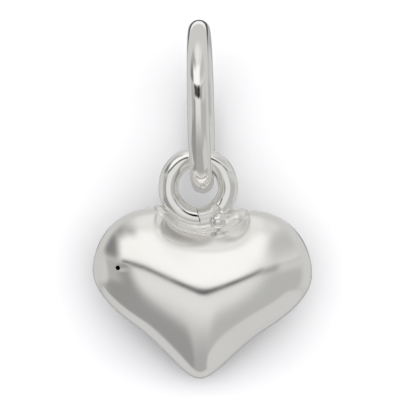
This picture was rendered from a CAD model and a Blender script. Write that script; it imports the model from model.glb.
"""Looks of the puffed heart pendant: a hollow heart of polished silver sheet on a
soldered wire loop, hanging from a jump ring that stands edge-on to the camera.

Everything is in metres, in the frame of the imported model: X across the heart, Y from
front to back, Z up, with the origin at the inside top of the jump ring.
"""

import math

import bmesh
import bpy
import numpy as np
from bpy.props import FloatProperty, FloatVectorProperty, PointerProperty
from mathutils import Matrix, Vector


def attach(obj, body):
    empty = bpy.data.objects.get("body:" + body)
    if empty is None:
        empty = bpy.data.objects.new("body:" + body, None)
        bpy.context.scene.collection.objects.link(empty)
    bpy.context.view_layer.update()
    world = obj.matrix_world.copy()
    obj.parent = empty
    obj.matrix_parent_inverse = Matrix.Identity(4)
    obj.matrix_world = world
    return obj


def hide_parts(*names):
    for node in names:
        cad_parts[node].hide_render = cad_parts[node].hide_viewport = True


bl_info = {
    "name": "Puffed Heart Pendant",
    "version": (1, 0, 0),
    "blender": (4, 5, 0),
    "location": "3D View > Sidebar > Pendant",
    "description": "Builds a polished silver puffed heart pendant and its studio",
    "category": "Add Mesh",
}

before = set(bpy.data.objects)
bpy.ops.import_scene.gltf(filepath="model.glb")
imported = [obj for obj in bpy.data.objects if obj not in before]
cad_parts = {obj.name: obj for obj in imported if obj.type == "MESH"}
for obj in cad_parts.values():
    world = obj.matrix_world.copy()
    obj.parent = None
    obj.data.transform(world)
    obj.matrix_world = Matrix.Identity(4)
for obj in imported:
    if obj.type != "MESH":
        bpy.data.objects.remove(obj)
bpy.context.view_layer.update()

MM = 0.001
DEG = math.pi / 180


def linear(hex_colour):
    """A colour written as sRGB hex, as the linear values that shaders take."""
    shown = [int(hex_colour[i : i + 2], 16) / 255 for i in (0, 2, 4)]
    return [c / 12.92 if c <= 0.04045 else ((c + 0.055) / 1.055) ** 2.4 for c in shown]


# Sizes and colours that a user would change


class PendantRing(bpy.types.PropertyGroup):
    outside: FloatProperty(
        name="Outside", description="Outside diameter of the jump ring",
        default=8 * MM, unit="LENGTH")
    wire: FloatProperty(
        name="Wire", description="Diameter of the jump ring's wire",
        default=1 * MM, unit="LENGTH")
    yaw: FloatProperty(
        name="Turn", description="Turn about the upright axis, near side to the left",
        default=5 * DEG, subtype="ANGLE")
    lean: FloatProperty(
        name="Lean", description="Lean of the ring to the left at its top",
        default=1.3 * DEG, subtype="ANGLE")


class PendantLoop(bpy.types.PropertyGroup):
    outside: FloatProperty(
        name="Outside", description="Outside diameter of the loop on the heart",
        default=3.66 * MM, unit="LENGTH")
    wire: FloatProperty(
        name="Wire", description="Diameter of the loop's wire",
        default=0.92 * MM, unit="LENGTH")
    gap: FloatProperty(
        name="Gap", description="Gap between the jump ring and the top of the loop",
        default=0.2 * MM, unit="LENGTH")
    left: FloatProperty(
        name="Left", description="How far the loop hangs to the left of the ring's foot",
        default=0.21 * MM, unit="LENGTH")
    side: FloatProperty(
        name="Side", description="Distance of the loop's middle from the heart's axis",
        default=0.31 * MM, unit="LENGTH")
    rise: FloatProperty(
        name="Rise", description="Height of the loop's middle over the lobes' tops",
        default=1 * MM, unit="LENGTH")


class PendantHeart(bpy.types.PropertyGroup):
    width: FloatProperty(
        name="Width", description="Width over both lobes",
        default=10.1 * MM, unit="LENGTH")
    height: FloatProperty(
        name="Height", description="Height from the tops of the lobes to the tip",
        default=7.8 * MM, unit="LENGTH")
    thickness: FloatProperty(
        name="Thickness", description="Thickness at the crest, both halves together",
        default=4 * MM, unit="LENGTH")
    notch: FloatProperty(
        name="Notch", description="Depth of the notch between the lobes",
        default=0.9 * MM, unit="LENGTH")
    tilt: FloatProperty(
        name="Tilt", description="Turn of the heart in its own plane, tip to the left",
        default=1.55 * DEG, subtype="ANGLE")
    vent: FloatProperty(
        name="Vent", description="Diameter of the vent hole in the left lobe",
        default=0.18 * MM, unit="LENGTH")


class PendantFinish(bpy.types.PropertyGroup):
    silver: FloatVectorProperty(
        name="Silver", description="Colour of the polished sterling silver",
        default=linear("FAF9F6"), subtype="COLOR", min=0, max=1)
    warm: FloatVectorProperty(
        name="Warm silver", description="Silver where a breath of tarnish has begun",
        default=linear("F4F2EC"), subtype="COLOR", min=0, max=1)
    solder: FloatVectorProperty(
        name="Solder", description="Colour of the hard silver solder",
        default=linear("F5F4F1"), subtype="COLOR", min=0, max=1)
    inside: FloatVectorProperty(
        name="Inside", description="Dull dark silver inside the vent hole",
        default=linear("2B2926"), subtype="COLOR", min=0, max=1)
    sheet_gloss: FloatProperty(
        name="Sheet roughness", description="Roughness of the tumbled and buffed sheet",
        default=0.15, min=0, max=1)
    wire_gloss: FloatProperty(
        name="Wire roughness", description="Roughness of the drawn and buffed wire",
        default=0.07, min=0, max=1)


class PendantStudio(bpy.types.PropertyGroup):
    azimuth: FloatProperty(
        name="Azimuth", description="Where the camera stands, from straight ahead",
        default=-3 * DEG, subtype="ANGLE")
    elevation: FloatProperty(
        name="Elevation", description="Height of the camera over the pendant's level",
        default=0, subtype="ANGLE")
    distance: FloatProperty(
        name="Distance", description="Distance of the camera from the pendant",
        default=400 * MM, unit="LENGTH")
    pixel: FloatProperty(
        name="Pixel", description="Size of one picture pixel at the pendant",
        default=0.046 * MM, unit="LENGTH", precision=6)
    dome: FloatProperty(
        name="Dome", description="Brightness of the soft light on paper and floor",
        default=1.5, min=0)
    paper: FloatVectorProperty(
        name="Paper", description="Colour of the white paper behind and the floor",
        default=linear("F3F3F4"), subtype="COLOR", min=0, max=1)


# Helpers


def put(tree, kind, inputs=(), **settings):
    """Adds one node with its settings. Inputs are values or other nodes' outputs."""
    node = tree.nodes.new(kind)
    for name, value in settings.items():
        setattr(node, name, value)
    for socket, value in dict(inputs).items():
        if isinstance(value, bpy.types.NodeSocket):
            tree.links.new(value, node.inputs[socket])
        else:
            node.inputs[socket].default_value = value
    return node


def new_piece(name, points, faces, materials, place=Matrix.Identity(4)):
    """A smooth mesh object of these points and faces. Its place is in its mesh."""
    if not len(faces):
        raise RuntimeError(f"{name} has no faces")
    mesh = bpy.data.meshes.new(name)
    mesh.from_pydata([tuple(p) for p in points], [], [tuple(f) for f in faces])
    mesh.validate()
    mesh.transform(place)
    mesh.shade_smooth()
    for material in materials:
        mesh.materials.append(material)
    piece = bpy.data.objects.new(name, mesh)
    bpy.context.scene.collection.objects.link(piece)
    return piece


def grid_faces(rows, columns, closed_columns=True, closed_rows=False):
    """Quads between the points of a grid that is stored row by row."""
    row = np.arange(rows if closed_rows else rows - 1)[:, None]
    column = np.arange(columns if closed_columns else columns - 1)[None]
    after, beside = (row + 1) % rows, (column + 1) % columns
    corners = [
        row * columns + column, row * columns + beside,
        after * columns + beside, after * columns + column,
    ]
    return np.stack(np.broadcast_arrays(*corners), -1).reshape(-1, 4).tolist()


def ring_mid(ring):
    drop = ring.outside / 2 - ring.wire
    return Vector((drop * math.sin(ring.lean), 0, -drop * math.cos(ring.lean)))


def loop_radius(loop):
    return (loop.outside - loop.wire) / 2


def heart_place(scene):
    """From the heart's own frame, with its origin between the tops of the lobes, to
    where the loop holds it on the jump ring."""
    ring, loop, heart = scene.pendant_ring, scene.pendant_loop, scene.pendant_heart
    reach = ring.outside - 1.5 * ring.wire
    foot = reach * Vector((math.sin(ring.lean), 0, -math.cos(ring.lean)))
    up = (ring.wire + loop.wire) / 2 + loop.gap - loop_radius(loop)
    return (
        Matrix.Translation(foot + Vector((-loop.left, 0, up)))
        @ Matrix.Rotation(heart.tilt, 4, "Y")
        @ Matrix.Translation((loop.side, 0, -loop.rise))
    )


def loop_place(scene):
    """From the loop's own frame, with its origin in the loop's middle."""
    loop = scene.pendant_loop
    return heart_place(scene) @ Matrix.Translation((-loop.side, 0, loop.rise))


# Materials

# Height of the slow ripple that buffing leaves on sheet and on drawn wire
SHEET_RIPPLE = 0.0012 * MM
WIRE_RIPPLE = 0.002 * MM
# Which way the polishing hairlines run: a small share draws them out that much
ALONG_X = (1, 0.12, 0.12)
ALONG_Z = (0.12, 0.12, 1)
HAIRLINE_DEPTH = 0.00005 * MM
GRAIN_DEPTH = 0.003 * MM
# How much of its colour the darkest crust keeps
CRUST_SHADE = 0.4


def bare_metal(name):
    """A new material of bare metal: itself, its nodes, its shader and its place."""
    material = bpy.data.materials.new(name)
    material.use_nodes = True
    tree = material.node_tree
    shader = tree.nodes["Principled BSDF"]
    shader.inputs["Metallic"].default_value = 1.0
    here = put(tree, "ShaderNodeTexCoord").outputs["Object"]
    return material, tree, shader, here


def polished_silver(name, finish, roughness, ripple, scratch_stretch):
    """Sterling silver 925, tumbled and buffed: a bright warm white metal whose mirror
    is softened by polishing hairlines and a faint unevenness under the buff."""
    material, tree, shader, here = bare_metal(name)

    # Breaths of tarnish, in patches of about 3 mm
    patches = put(tree, "ShaderNodeTexNoise", {
        "Vector": here, "Scale": 1 / (3 * MM), "Detail": 3.0, "Roughness": 0.5})
    tarnish = put(tree, "ShaderNodeMapRange", {
        "Value": patches.outputs["Fac"], "From Min": 0.45, "From Max": 0.75,
        "To Min": 0.0, "To Max": 0.6})
    colour = put(tree, "ShaderNodeMix", {
        "Factor": tarnish.outputs["Result"],
        6: [*finish.silver, 1], 7: [*finish.warm, 1]}, data_type="RGBA")
    tree.links.new(colour.outputs[2], shader.inputs["Base Color"])

    # Buffing leaves the gloss a little uneven, over about 1 mm
    buff = put(tree, "ShaderNodeTexNoise", {
        "Vector": here, "Scale": 1 / (1.1 * MM), "Detail": 4.0, "Roughness": 0.6})
    gloss = put(tree, "ShaderNodeMapRange", {
        "Value": buff.outputs["Fac"], "From Min": 0.3, "From Max": 0.7,
        "To Min": roughness * 0.85, "To Max": roughness * 1.15})
    tree.links.new(gloss.outputs["Result"], shader.inputs["Roughness"])

    # Polishing hairlines. Real ones are some 0.005 mm apart, too fine to show, so
    # they are drawn about 0.05 mm apart
    drawn_out = put(tree, "ShaderNodeMapping", {
        "Vector": here, "Rotation": (0.3, 0.5, 0.2), "Scale": scratch_stretch})
    hairs = put(tree, "ShaderNodeTexNoise", {
        "Vector": drawn_out.outputs["Vector"], "Scale": 1 / (0.05 * MM),
        "Detail": 2.0, "Roughness": 0.5})
    hairlines = put(tree, "ShaderNodeBump", {
        "Height": hairs.outputs["Fac"], "Strength": 1.0, "Distance": HAIRLINE_DEPTH})

    # Slow ripple of the metal, about 1.2 mm from crest to crest
    swell = put(tree, "ShaderNodeTexNoise", {
        "Vector": here, "Scale": 1 / (1.2 * MM), "Detail": 1.0, "Roughness": 0.4})
    rippled = put(tree, "ShaderNodeBump", {
        "Height": swell.outputs["Fac"], "Strength": 1.0, "Distance": ripple,
        "Normal": hairlines.outputs["Normal"]})
    tree.links.new(rippled.outputs["Normal"], shader.inputs["Normal"])
    return material


def silver_solder(name, finish):
    """Hard silver solder, left as it ran and only brushed over: greyer and duller
    than the sheet, with a fine frozen grain."""
    material, tree, shader, here = bare_metal(name)
    # It ran in streaks of about 0.35 mm, some duller than others
    flow = put(tree, "ShaderNodeTexNoise", {
        "Vector": here, "Scale": 1 / (0.35 * MM), "Detail": 3.0, "Roughness": 0.55})
    colour = put(tree, "ShaderNodeMix", {
        "Factor": flow.outputs["Fac"],
        6: [*finish.solder, 1], 7: [*finish.warm, 1]}, data_type="RGBA")
    tree.links.new(colour.outputs[2], shader.inputs["Base Color"])
    dull = put(tree, "ShaderNodeMapRange", {
        "Value": flow.outputs["Fac"], "From Min": 0.3, "From Max": 0.7,
        "To Min": 0.24, "To Max": 0.38})
    tree.links.new(dull.outputs["Result"], shader.inputs["Roughness"])
    # Frozen grain of about 0.12 mm
    grain = put(tree, "ShaderNodeTexNoise", {
        "Vector": here, "Scale": 1 / (0.12 * MM), "Detail": 2.0, "Roughness": 0.5})
    frozen = put(tree, "ShaderNodeBump", {
        "Height": grain.outputs["Fac"], "Strength": 1.0, "Distance": GRAIN_DEPTH})
    tree.links.new(frozen.outputs["Normal"], shader.inputs["Normal"])
    return material


def firescaled_silver(name, finish):
    """Silver that fire has darkened and no buff has reached: matt, with a fine crust
    of firescale and burnt flux."""
    material, tree, shader, here = bare_metal(name)
    shader.inputs["Roughness"].default_value = 0.7
    # Crust in specks of about 0.05 mm
    crust = put(tree, "ShaderNodeTexNoise", {
        "Vector": here, "Scale": 1 / (0.05 * MM), "Detail": 2.0})
    colour = put(tree, "ShaderNodeMix", {
        "Factor": crust.outputs["Fac"],
        6: [*finish.inside, 1], 7: [c * CRUST_SHADE for c in finish.inside] + [1]},
        data_type="RGBA")
    tree.links.new(colour.outputs[2], shader.inputs["Base Color"])
    return material


def the_material(name, make, *settings):
    """The material of that name, made the first time that a piece asks for it."""
    return bpy.data.materials.get(name) or make(name, *settings)


def sheet_silver(finish):
    return the_material(
        "buffed_silver_sheet", polished_silver, finish, finish.sheet_gloss,
        SHEET_RIPPLE, ALONG_X)


def wire_silver(finish):
    return the_material(
        "buffed_silver_wire", polished_silver, finish, finish.wire_gloss,
        WIRE_RIPPLE, ALONG_Z)


def solder_silver(finish):
    return the_material("silver_solder_as_run", silver_solder, finish)


def dull_inside(finish):
    return the_material("firescaled_silver_inside", firescaled_silver, finish)


# Jump ring


class PENDANT_OT_jump_ring(bpy.types.Operator):
    """Bend the round wire of the jump ring, smooth all round"""

    bl_idname = "pendant.jump_ring"
    bl_label = "Jump Ring"

    STATIONS = 320
    SECTION = 56
    # A flat that the pliers left on the front: its place round the ring, how deep it
    # goes and its half length along the ring
    FLAT_AT = 260.3 * DEG
    FLAT_DEPTH = 0.025 * MM
    FLAT_HALF = 6.4 * DEG

    def execute(self, context):
        ring = context.scene.pendant_ring
        bend = (ring.outside - ring.wire) / 2
        turn = np.linspace(0, 2 * math.pi, self.STATIONS, endpoint=False)[:, None]
        spin = np.linspace(0, 2 * math.pi, self.SECTION, endpoint=False)[None]
        flat = self.FLAT_DEPTH * np.exp(-(((turn - self.FLAT_AT) / self.FLAT_HALF) ** 2))
        across = bend - flat + ring.wire / 2 * np.cos(spin)
        points = np.stack(np.broadcast_arrays(
            across * np.cos(turn), across * np.sin(turn), ring.wire / 2 * np.sin(spin)
        ), -1).reshape(-1, 3)
        place = (
            Matrix.Translation(ring_mid(ring))
            @ Matrix.Rotation(-ring.lean, 4, "Y")
            @ Matrix.Rotation(-ring.yaw, 4, "Z")
            @ Matrix.Rotation(90 * DEG, 4, "Y")
        )
        piece = new_piece(
            "ring_wire", points,
            grid_faces(self.STATIONS, self.SECTION, closed_rows=True),
            [wire_silver(context.scene.pendant_finish)], place)
        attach(piece, "ring")
        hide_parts("jump_ring")
        return {"FINISHED"}


# Heart shell

# Outline of the right half from the notch to the tip, in millimetres and degrees, as
# the part's source has it. Columns: distance from the axis, height over the tops of
# the lobes, direction of travel, hold before the point, hold after it
ACROSS, UP, HEADING, BEFORE, AFTER = range(5)

CREST = (0, -4.4 * MM)
# How steeply the sheet rises from the rim, where 0.5 would be a round tube
RISE_POWER = 0.6
# How much more the upper edges hold the sheet down than the lower ones
UPPER_HOLD = 0.4
# Soft ridge down the middle of the nose: how much it lifts the puff, its half width,
# and the heights over the lobes' tops between which it grows
RIDGE_GAIN = 0.045
RIDGE_HALF = 0.8 * MM
RIDGE_FROM, RIDGE_TO = -2.8 * MM, -6 * MM
# Soft swell round the notch: how much it lifts the puff, its middle and half sizes
SWELL_GAIN = 0.1
SWELL_AT = (0, -1.55 * MM)
SWELL_HALF = (1.5 * MM, 0.65 * MM)
# How much the shell's rings of faces crowd towards the rim, where it bends most
CROWDING = 1.8
# Points on each stretch of the outline, and rings from the rim to the crest
OUTLINE_STEPS = 38
RINGS = 72
# Points whose distance inward is worked out at one time, to spare memory
BATCH = 4000
# Least distance that counts as off an edge, in metres
OFF_EDGE = 1e-9
# Depth of the soldered and buffed seam between the two stamped halves
SEAM_DEPTH = 0.012 * MM

VENT_AT = (-3.95 * MM, -2.8 * MM)
VENT_DEPTH = 0.5 * MM
# Width of the worn edge round the vent
VENT_LIP = 0.012 * MM
# How far round the vent the front is refined, once for each reach
VENT_REACHES = (0.62 * MM, 0.45 * MM, 0.28 * MM)
# How far up its worn edge the vent is dark
DARK_FROM = 0.7
# Shallow dent that the vent's drill left, longer to the right
DENT_DEPTH = 0.02 * MM
DENT_REACH = (0.3 * MM, 0.14 * MM)
DENT_SHIFT = 0.14 * MM


def outline_rows(heart):
    half, notch, height = heart.width / 2 / MM, heart.notch / MM, heart.height / MM
    return [
        (0, -notch, 8, 0, 0.8),
        (1.5, -0.42, 42, 0.45, 0.25),
        (2.2, 0, 0, 0.3, 1.85),
        (half, -2.9, -90, 1.35, 1.35),
        (2.69, -5.68, -142, 0.6, 1.8),
        (0, -height, -180, 0.7, 0),
    ]


def heart_outline(heart, steps):
    """Points round the heart, from the notch down the right side and up the left."""
    rows = outline_rows(heart)
    t = (np.arange(steps) / steps)[:, None]
    right = []
    for a, b in zip(rows, rows[1:]):
        start, end = np.array(a[:HEADING]), np.array(b[:HEADING])
        leave = np.array([math.cos(a[HEADING] * DEG), math.sin(a[HEADING] * DEG)])
        reach = np.array([math.cos(b[HEADING] * DEG), math.sin(b[HEADING] * DEG)])
        right.append(
            (1 - t) ** 3 * start
            + 3 * (1 - t) ** 2 * t * (start + a[AFTER] * leave)
            + 3 * (1 - t) * t**2 * (end - b[BEFORE] * reach)
            + t**3 * end
        )
    right = np.concatenate(right)
    tip = np.array([rows[-1][:HEADING]])
    left = right[:0:-1] * (-1, 1)
    return np.concatenate([right, tip, left]) * MM


def inward(points, edge):
    """Smooth distance inward from the edge, where each stretch of it counts by the
    angle that it fills as seen from the point, over its distance."""
    run = np.roll(edge, -1, axis=0) - edge
    length = np.linalg.norm(run, axis=1)
    along = run / length[:, None]
    hold = 1 + UPPER_HOLD * along[:, 0]
    result = []
    for part in np.array_split(points, max(1, len(points) // BATCH)):
        to_edge = edge[None] - part[:, None]
        away = np.abs(to_edge[..., 0] * along[:, 1] - to_edge[..., 1] * along[:, 0])
        away = np.maximum(away, OFF_EDGE)
        s = (to_edge * along).sum(-1)
        pull = hold * (np.arctan((s + length) / away) - np.arctan(s / away)) / away
        result.append(math.pi / pull.sum(1))
    return np.concatenate(result)


def stamped_swells(points):
    """How much the die lifts the puff along the nose and round the notch."""
    grown = np.clip((RIDGE_FROM - points[:, 1]) / (RIDGE_FROM - RIDGE_TO), 0, 1)
    grown = grown * grown * (3 - 2 * grown)
    nose = RIDGE_GAIN * grown * np.exp(-((points[:, 0] / RIDGE_HALF) ** 2))
    away = (points - np.array(SWELL_AT)) / np.array(SWELL_HALF)
    return 1 + nose + SWELL_GAIN * np.exp(-(away**2).sum(1))


class PENDANT_OT_heart_shell(bpy.types.Operator):
    """Raise both stamped halves of the heart, with their seam and the vent hole"""

    bl_idname = "pendant.heart_shell"
    bl_label = "Heart Shell"

    def execute(self, context):
        scene = context.scene
        heart = scene.pendant_heart
        edge = heart_outline(heart, OUTLINE_STEPS)
        half = heart.thickness / 2
        at_crest = inward(np.array([CREST]), edge)[0]

        def depth_of(points):
            puff = (inward(points, edge) / at_crest) ** RISE_POWER
            return half * puff * stamped_swells(points)

        count = len(edge)
        share = ((np.arange(1, RINGS) / RINGS) ** CROWDING)[:, None, None]
        flat = (edge + share * (np.array(CREST) - edge)).reshape(-1, 2)
        depth = depth_of(flat)
        run = np.roll(edge, -1, axis=0) - np.roll(edge, 1, axis=0)
        run /= np.linalg.norm(run, axis=1)[:, None]
        seam = edge + SEAM_DEPTH * np.stack([run[:, 1], -run[:, 0]], -1)

        rim = np.insert(seam, 1, 0, axis=1)
        front = np.stack([flat[:, 0], -depth, flat[:, 1]], -1)
        crest = depth_of(np.array([CREST]))[0]
        tips = [(CREST[0], side * crest, CREST[1]) for side in (-1, 1)]
        points = np.concatenate([rim, front, front * (1, -1, 1), tips])

        side_count = count * (RINGS - 1)
        one_side = np.array(grid_faces(RINGS, count))
        other_side = np.where(one_side < count, one_side, one_side + side_count)
        last = count * (RINGS - 1) + np.arange(count)
        fan = np.stack([last, np.roll(last, -1)], -1)
        tip = count + 2 * side_count
        faces = one_side.tolist() + other_side[:, ::-1].tolist()
        faces += [(a, b, tip) for a, b in fan]
        faces += [(b, a, tip + 1) for a, b in fan + side_count]

        piece = new_piece(
            "heart_shell", points, faces,
            [sheet_silver(scene.pendant_finish), dull_inside(scene.pendant_finish)])
        self.drill_vent(piece, heart, depth_of)
        piece.data.transform(heart_place(scene))
        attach(piece, "drop")
        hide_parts("heart")
        return {"FINISHED"}

    def drill_vent(self, piece, heart, depth_of):
        """Refine the front round the vent, then press in its dent and hole."""
        build = bmesh.new()
        build.from_mesh(piece.data)
        vent = Vector((VENT_AT[0], 0, VENT_AT[1]))

        def away(point):
            return (Vector((point.x, 0, point.z)) - vent).length

        for reach in VENT_REACHES:
            near = [
                e for e in build.edges
                if all(v.co.y < 0 and away(v.co) < reach for v in e.verts)
            ]
            bmesh.ops.subdivide_edges(build, edges=near, cuts=1, use_grid_fill=True)

        close = [
            v for v in build.verts if v.co.y < 0 and away(v.co) < VENT_REACHES[0]]
        depth = depth_of(np.array([(v.co.x, v.co.z) for v in close]))
        radius = heart.vent / 2
        for vert, deep in zip(close, depth):
            dx = (vert.co.x - vent.x - DENT_SHIFT) / DENT_REACH[0]
            dz = (vert.co.z - vent.z) / DENT_REACH[1]
            dent = DENT_DEPTH * math.exp(-dx * dx - dz * dz)
            inside = min(1, max(0, (radius + VENT_LIP - away(vert.co)) / VENT_LIP))
            vert.co.y = -deep + dent + VENT_DEPTH * inside * inside * (3 - 2 * inside)
        for face in build.faces:
            middle = face.calc_center_median()
            if middle.y < 0 and away(middle) < radius + DARK_FROM * VENT_LIP:
                face.material_index = 1
        bmesh.ops.recalc_face_normals(build, faces=build.faces)
        build.to_mesh(piece.data)
        build.free()


# Wire loop

# The wire starts at its slanted cut beside the solder, at these angles on its inside
# and outside, goes round over the top, and ends on the right
CUT_INSIDE = 268
CUT_OUTSIDE = 278
WIRE_END = -43
# The wire's ends are rounded over this much, in place of its last stations
END_ROUNDING = 0.05 * MM
ENDS_LEFT_OUT = 3
# Marks of the round-nose pliers: the loop isn't quite round. Columns: size in mm,
# waves per turn, shift in degrees
PLIERS = [(0.012, 3, 40), (0.008, 5, 200), (0.005, 9, 90)]


class PENDANT_OT_wire_loop(bpy.types.Operator):
    """Bend the heart's own loop, with its open joint at the bottom"""

    bl_idname = "pendant.wire_loop"
    bl_label = "Wire Loop"

    STATIONS = 260
    SECTION = 160
    ROUNDING_STEPS = 6
    # Faint flats that the pliers left on the front: how far their faces look up, how
    # deep they go, and how far round the wire they reach
    FLAT_LIFT = 9.7 * DEG
    FLAT_DEPTH = 0.0096 * MM
    FLAT_HALF = 12 * DEG

    def execute(self, context):
        scene = context.scene
        loop, finish = scene.pendant_loop, scene.pendant_finish
        bend, half = loop_radius(loop), loop.wire / 2
        spin = np.linspace(0, 2 * math.pi, self.SECTION, endpoint=False)
        share = np.linspace(0, 1, self.STATIONS)
        rounding = np.linspace(0, 90, self.ROUNDING_STEPS) * DEG
        inset = END_ROUNDING * (1 - np.sin(rounding))
        slim = END_ROUNDING * (1 - np.cos(rounding))

        # Stations along the wire: share of the way, distance back from the end, and
        # how much slimmer the section is
        stations = [(0, i, s) for i, s in zip(inset[::-1], slim[::-1])]
        stations += [(t, 0, 0) for t in share[ENDS_LEFT_OUT:-ENDS_LEFT_OUT]]
        stations += [(1, -i, s) for i, s in zip(inset, slim)]

        points = []
        for t, back, thinner in stations:
            r = half - thinner
            out = bend + r * np.cos(spin)
            cut = CUT_INSIDE + (CUT_OUTSIDE - CUT_INSIDE) * (
                (out - bend) / loop.wire + 0.5)
            angle = (cut + t * (WIRE_END - cut)) * DEG - back / bend
            wobble = sum(
                size * MM * np.sin(waves * angle + shift * DEG)
                for size, waves, shift in PLIERS)
            lift = np.arcsin(np.cos(spin) * np.sin(angle))
            flat = self.FLAT_DEPTH * np.exp(
                -(((lift - self.FLAT_LIFT) / self.FLAT_HALF) ** 2))
            flat *= np.clip(-2 * np.sin(spin), 0, 1)
            out = out + wobble - flat * np.cos(spin)
            points.append(np.stack([
                out * np.cos(angle), (r - flat) * np.sin(spin), out * np.sin(angle)
            ], -1))
        ends = [p.mean(0) for p in (points[0], points[-1])]
        points = np.concatenate(points + [np.array(ends)])

        rows = len(stations)
        faces = grid_faces(rows, self.SECTION)
        last = (rows - 1) * self.SECTION
        around = [(k, (k + 1) % self.SECTION) for k in range(self.SECTION)]
        faces += [(b, a, rows * self.SECTION) for a, b in around]
        faces += [(last + a, last + b, rows * self.SECTION + 1) for a, b in around]
        piece = new_piece(
            "wire_loop", points, faces,
            [wire_silver(finish), dull_inside(finish)], loop_place(scene))
        polygons = list(piece.data.polygons)
        for polygon in polygons[-2 * self.SECTION :]:
            polygon.use_smooth = False
        # Burnt flux stays dark in the line of the cut
        for polygon in polygons[: (self.ROUNDING_STEPS - 2) * self.SECTION]:
            polygon.material_index = 1
        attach(piece, "drop")
        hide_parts("heart")
        return {"FINISHED"}


# Solder

# Lumps that run together into one piece each. Columns: distance from the loop's middle,
# from angle, to angle, diameter, forward shift, all in millimetres and degrees. The
# number with each is how many times its surface is softened
SEAT_LUMPS = [
    (2.12, 214, 226, 0.70, 0.0),
    (2.26, 222, 233, 1.10, 0.0),
    (1.94, 226, 300, 0.76, 0.0),
    (1.98, 270, 306, 0.86, 0.0),
    (2.24, 303, 316, 1.06, 0.0),
    (2.34, 310, 320, 1.12, 0.0),
    (2.56, 318, 324, 1.00, 0.0),
    (2.46, 322, 328, 0.80, 0.0),
]
SEAT_SOFTENING = 60
JOINT_LUMPS = [
    (1.37, 271, 296, 0.86, 0.0),
    (1.58, 276, 292, 0.80, 0.0),
    (1.25, 292, 314, 0.70, 0.0),
]
JOINT_SOFTENING = 6
BEAD_LUMPS = [
    (1.78, 301.7, 301.7, 0.78, -0.38),
    (1.62, 307, 313, 0.58, -0.14),
]
BEAD_SOFTENING = 4
# Balls that make up a lump stand this many degrees apart
BALL_STEP = 3
# Size of the cubes that the lumps are run together in, in millimetres
VOXEL = 0.03


class PENDANT_OT_solder(bpy.types.Operator):
    """Run the solder: the seat in the notch, the filled joint and the round bead"""

    bl_idname = "pendant.solder"
    bl_label = "Solder"

    def execute(self, context):
        finish = context.scene.pendant_finish
        dull, bright = solder_silver(finish), sheet_silver(finish)
        for name, lumps, material, softening in (
            ("solder_seat", SEAT_LUMPS, dull, SEAT_SOFTENING),
            ("solder_joint", JOINT_LUMPS, dull, JOINT_SOFTENING),
            ("solder_bead", BEAD_LUMPS, bright, BEAD_SOFTENING),
        ):
            self.run_together(context, name, lumps, material, softening)
        return {"FINISHED"}

    def run_together(self, context, name, lumps, material, softening):
        """Fuse one piece's lumps and soften them. It is worked in millimetres,
        because a voxel can't be under 0.1 mm in metres."""
        build = bmesh.new()
        for out, start, end, size, shift in lumps:
            steps = max(1, round((end - start) / BALL_STEP))
            for angle in np.linspace(start, end, steps) * DEG:
                spot = Matrix.Translation(
                    (out * math.cos(angle), shift, out * math.sin(angle)))
                bmesh.ops.create_icosphere(
                    build, subdivisions=3, radius=size / 2, matrix=spot)
        rough = bpy.data.meshes.new(name + "_rough")
        build.to_mesh(rough)
        build.free()
        lump = bpy.data.objects.new(name, rough)
        context.scene.collection.objects.link(lump)
        remesh = lump.modifiers.new("run_together", "REMESH")
        remesh.mode = "VOXEL"
        remesh.voxel_size = VOXEL
        soften = lump.modifiers.new("soften", "SMOOTH")
        soften.factor = 0.5
        soften.iterations = softening
        graph = context.evaluated_depsgraph_get()
        smooth = bpy.data.meshes.new_from_object(lump.evaluated_get(graph))
        lump.modifiers.clear()
        smooth.transform(loop_place(context.scene) @ Matrix.Scale(MM, 4))
        smooth.shade_smooth()
        smooth.materials.clear()
        smooth.materials.append(material)
        if not len(smooth.polygons):
            raise RuntimeError(f"{name} came out empty")
        lump.data = smooth
        bpy.data.meshes.remove(rough)
        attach(lump, "drop")
        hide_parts("heart")


# Studio

# What the silver mirrors, as tones from black to white as they look. Angles are in
# degrees: rise over the camera's level, side to the right of it, and turn away from
# the camera's own direction. None leaves that way open. Columns: tone, softness of
# the edges, rise from and to, side from and to, turn from and to
PANELS = [
    # Table side, darker to the left and a little to the right
    (0.59, 7, None, 14, None, -29, None, None),
    (0.70, 8, -14, 14, None, -46, None, None),
    (0.71, 9, None, 14, 27, None, None, None),
    # Soft box in front and above, with a greyer wall to its right and a dark one
    # to its left
    (0.99, 2, 19, None, None, None, None, None),
    (0.78, 14, 19, None, 22, None, None, None),
    (0.50, 9, 19, None, None, -43, None, None),
    # Ceiling over the soft box
    (0.80, 6, 58, None, None, None, None, None),
    (0.91, 8, 58, None, -20, 22, None, None),
    (0.58, 7, 45, 59, -56, -33, None, None),
    (0.62, 7, 50, 59, -36, -16, None, None),
    (0.74, 8, 34, 48, 24, None, None, None),
    (0.86, 5, 55, None, 14, None, None, None),
    # Dark gap between the soft box and the table, widest straight ahead
    (0.75, 1, 17.5, 21, None, None, None, None),
    (0.02, 3, 17.7, 21, -38, 22, None, None),
    (0.02, 1.5, 15.6, 22, 1, 11, None, None),
    (0.50, 4, 14.5, 19, 24, 40, None, None),
    # White paper far to the left and behind the pendant
    (0.81, 5, -25, None, None, -69, None, None),
    (0.80, 12, -25, None, None, None, 91, None),
    (0.80, 3, None, -25, 29, None, 70, None),
    (0.80, 3, None, -25, None, 29, 103, None),
    # Window and table on the far side, for who looks at the back
    (0.97, 5, 22, 65, -50, 40, 143, None),
    (0.68, 8, None, 8, None, None, 143, None),
    (0.30, 3, 10, 20, -62, 62, 143, None),
]
# Tone of the table at the camera's level, and this many degrees below it
FLOOR_NEAR, FLOOR_FAR = 0.88, 0.66
FLOOR_FALL = 65.0
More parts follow.
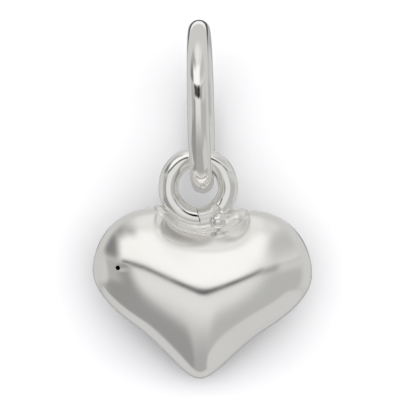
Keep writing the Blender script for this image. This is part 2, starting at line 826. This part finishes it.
# The soft light on the paper comes a little more from below, as shares of its
# brightness, and evens out over this many degrees to either side of the level
DOME_BELOW, DOME_ABOVE = 1.15, 0.85
DOME_FALL = 50.0
# From a tone as it looks to an amount of light
TONE_POWER = 2.2
# How much of what the silver mirrors it throws on to the paper
THROWN = 0.02

# Profile of the paper behind the pendant: height and distance behind it, in mm
PAPER = [
    (60, 20), (20, 9), (6, 6), (-3, 4.6), (-6.5, 3.2), (-9, 2.35), (-11, 2.1),
    (-13, 1.9), (-14, 1.55), (-15, 1.05), (-16, 0.8), (-18, 1), (-21, 2), (-28, 5),
    (-36, 9), (-50, 18),
]
PAPER_HALF_WIDTH = 60 * MM
# Rows of faces down the paper, and how many of them each bend is smoothed over
PAPER_ROWS = 240
BEND_ROWS = 15
FLOOR_LEVEL = -60 * MM
FLOOR_HALF = 600 * MM

# Middle of the picture, at the pendant
AIM = Vector((0.03, 0, -7.297)) * MM
# Pixels across the picture, and the camera's sensor width in millimetres
PICTURE = 400
SENSOR = 36
NEAREST_SEEN = 10 * MM


def camera_axes(studio):
    """Right, up and toward the camera, as the camera stands."""
    a, e = studio.azimuth, studio.elevation
    right = Vector((math.cos(a), math.sin(a), 0))
    toward = Vector((math.sin(a) * math.cos(e), -math.cos(a) * math.cos(e), math.sin(e)))
    return right, toward.cross(right), toward


def soft_studio(studio):
    """The light: a studio of soft panels for what mirrors it, an even dome for paper
    and floor, and plain white for the camera."""
    world = bpy.data.worlds.new("soft_studio")
    world.use_nodes = True
    # The panels are smooth, so rays that bounce find them well by themselves
    world.cycles.sampling_method = "NONE"
    tree = world.node_tree
    tree.nodes.clear()
    way = put(tree, "ShaderNodeTexCoord").outputs["Generated"]
    angles = []
    for axis, operation in zip(camera_axes(studio), ("ARCSINE", "ARCSINE", "ARCCOSINE")):
        part = put(tree, "ShaderNodeVectorMath", {0: way, 1: axis}, operation="DOT_PRODUCT")
        angle = put(tree, "ShaderNodeMath", {0: part.outputs["Value"]}, operation=operation)
        degrees = put(tree, "ShaderNodeMath", {0: angle.outputs[0]}, operation="DEGREES")
        angles.append(degrees.outputs[0])
    side, rise, turn = angles

    ground = put(tree, "ShaderNodeMapRange", {
        "Value": rise, "From Min": -FLOOR_FALL, "From Max": 0.0,
        "To Min": FLOOR_FAR, "To Max": FLOOR_NEAR}, interpolation_type="SMOOTHSTEP")
    tone = ground.outputs["Result"]
    for shade, soft, *limits in PANELS:
        weight = 1.0
        for number, limit in enumerate(limits):
            if limit is None:
                continue
            rising = number % 2 == 0
            edge = put(tree, "ShaderNodeMapRange", {
                "Value": (rise, side, turn)[number // 2],
                "From Min": limit - soft, "From Max": limit + soft,
                "To Min": 0.0 if rising else 1.0, "To Max": 1.0 if rising else 0.0,
            }, interpolation_type="SMOOTHSTEP")
            weight = put(tree, "ShaderNodeMath", {
                0: weight, 1: edge.outputs["Result"]}, operation="MULTIPLY").outputs[0]
        tone = put(tree, "ShaderNodeMix", {
            "Factor": weight, 2: tone, 3: shade}, data_type="FLOAT").outputs[0]
    light = put(
        tree, "ShaderNodeMath", {0: tone, 1: TONE_POWER}, operation="POWER").outputs[0]

    ray = put(tree, "ShaderNodeLightPath")
    dome = put(tree, "ShaderNodeMapRange", {
        "Value": rise, "From Min": -DOME_FALL, "From Max": DOME_FALL,
        "To Min": DOME_BELOW * studio.dome, "To Max": DOME_ABOVE * studio.dome,
    }, interpolation_type="SMOOTHSTEP")
    thrown = put(tree, "ShaderNodeMath", {0: light, 1: THROWN}, operation="MULTIPLY")
    from_silver = put(tree, "ShaderNodeMix", {
        "Factor": ray.outputs["Diffuse Depth"], 2: light, 3: thrown.outputs[0]},
        data_type="FLOAT").outputs[0]
    mirrored = put(tree, "ShaderNodeMix", {
        "Factor": ray.outputs["Is Glossy Ray"], 2: dome.outputs[0], 3: from_silver},
        data_type="FLOAT").outputs[0]
    seen = put(tree, "ShaderNodeMix", {
        "Factor": ray.outputs["Is Camera Ray"], 2: mirrored, 3: 1.0},
        data_type="FLOAT").outputs[0]
    glow = put(tree, "ShaderNodeBackground", {"Color": seen, "Strength": 1.0})
    put(tree, "ShaderNodeOutputWorld", {"Surface": glow.outputs["Background"]})
    return world


def matt_paper(studio):
    """Smooth matt white paper, clear from behind so that it hides nothing."""
    material = bpy.data.materials.new("matt_white_paper")
    material.use_nodes = True
    tree = material.node_tree
    tree.nodes.clear()
    white = put(tree, "ShaderNodeBsdfDiffuse", {"Color": [*studio.paper, 1]})
    clear = put(tree, "ShaderNodeBsdfTransparent")
    behind = put(tree, "ShaderNodeNewGeometry").outputs["Backfacing"]
    either = put(tree, "ShaderNodeMixShader", {
        0: behind, 1: white.outputs[0], 2: clear.outputs[0]})
    put(tree, "ShaderNodeOutputMaterial", {"Surface": either.outputs[0]})
    return material


class PENDANT_OT_stage(bpy.types.Operator):
    """Set the white paper, the pale floor, the soft light and the camera"""

    bl_idname = "pendant.stage"
    bl_label = "Stage"

    def execute(self, context):
        scene = context.scene
        studio = scene.pendant_studio
        paper = matt_paper(studio)

        heights, depths = np.array(PAPER).T * MM
        rows = np.linspace(heights[-1], heights[0], PAPER_ROWS)
        behind = np.interp(rows, heights[::-1], depths[::-1])
        weights = np.hanning(BEND_ROWS) / np.hanning(BEND_ROWS).sum()
        padded = np.pad(behind, BEND_ROWS // 2, mode="edge")
        behind = np.convolve(padded, weights, mode="valid")
        points = [
            (x, y, z) for y, z in zip(behind, rows)
            for x in (-PAPER_HALF_WIDTH, PAPER_HALF_WIDTH)
        ]
        sweep = new_piece(
            "paper_sweep", points,
            grid_faces(len(rows), 2, closed_columns=False), [paper])
        s = FLOOR_HALF
        floor = new_piece(
            "floor", [(-s, -s, FLOOR_LEVEL), (s, -s, FLOOR_LEVEL),
                      (s, s, FLOOR_LEVEL), (-s, s, FLOOR_LEVEL)],
            [(0, 1, 2, 3)], [paper])
        for piece in (sweep, floor):
            piece.visible_glossy = False

        scene.world = soft_studio(studio)
        scene.view_settings.view_transform = "Standard"

        right, up, toward = camera_axes(studio)
        lens = bpy.data.cameras.new("camera")
        lens.sensor_width = SENSOR
        lens.lens = SENSOR * studio.distance / (PICTURE * studio.pixel)
        lens.clip_start = NEAREST_SEEN
        camera = bpy.data.objects.new("camera", lens)
        camera.matrix_world = Matrix.Translation(AIM + toward * studio.distance) @ Matrix(
            (right, up, toward)).transposed().to_4x4()
        scene.collection.objects.link(camera)
        scene.camera = camera
        return {"FINISHED"}


# Panel and registration


class PENDANT_PT_main(bpy.types.Panel):
    """Sizes, colours and build buttons of the pendant"""

    bl_idname = "PENDANT_PT_main"
    bl_label = "Puffed Heart Pendant"
    bl_space_type = "VIEW_3D"
    bl_region_type = "UI"
    bl_category = "Pendant"

    def draw(self, context):
        for title, holder in GROUPS.items():
            box = self.layout.box()
            box.label(text=title)
            group = getattr(context.scene, holder[0])
            for name in holder[1].__annotations__:
                box.prop(group, name)
        for operator in OPERATORS:
            self.layout.operator(operator.bl_idname)


GROUPS = {
    "Jump ring": ("pendant_ring", PendantRing),
    "Wire loop": ("pendant_loop", PendantLoop),
    "Heart": ("pendant_heart", PendantHeart),
    "Finish": ("pendant_finish", PendantFinish),
    "Studio": ("pendant_studio", PendantStudio),
}
OPERATORS = (
    PENDANT_OT_jump_ring,
    PENDANT_OT_heart_shell,
    PENDANT_OT_wire_loop,
    PENDANT_OT_solder,
    PENDANT_OT_stage,
)


def register():
    for name, group in GROUPS.values():
        bpy.utils.register_class(group)
        setattr(bpy.types.Scene, name, PointerProperty(type=group))
    for operator in OPERATORS:
        bpy.utils.register_class(operator)
    bpy.utils.register_class(PENDANT_PT_main)


def unregister():
    bpy.utils.unregister_class(PENDANT_PT_main)
    for operator in reversed(OPERATORS):
        bpy.utils.unregister_class(operator)
    for name, group in reversed(GROUPS.values()):
        delattr(bpy.types.Scene, name)
        bpy.utils.unregister_class(group)


def main():
    register()
    bpy.ops.pendant.jump_ring()
    bpy.ops.pendant.heart_shell()
    bpy.ops.pendant.wire_loop()
    bpy.ops.pendant.solder()
    bpy.ops.pendant.stage()


if __name__ == "__main__":
    main()
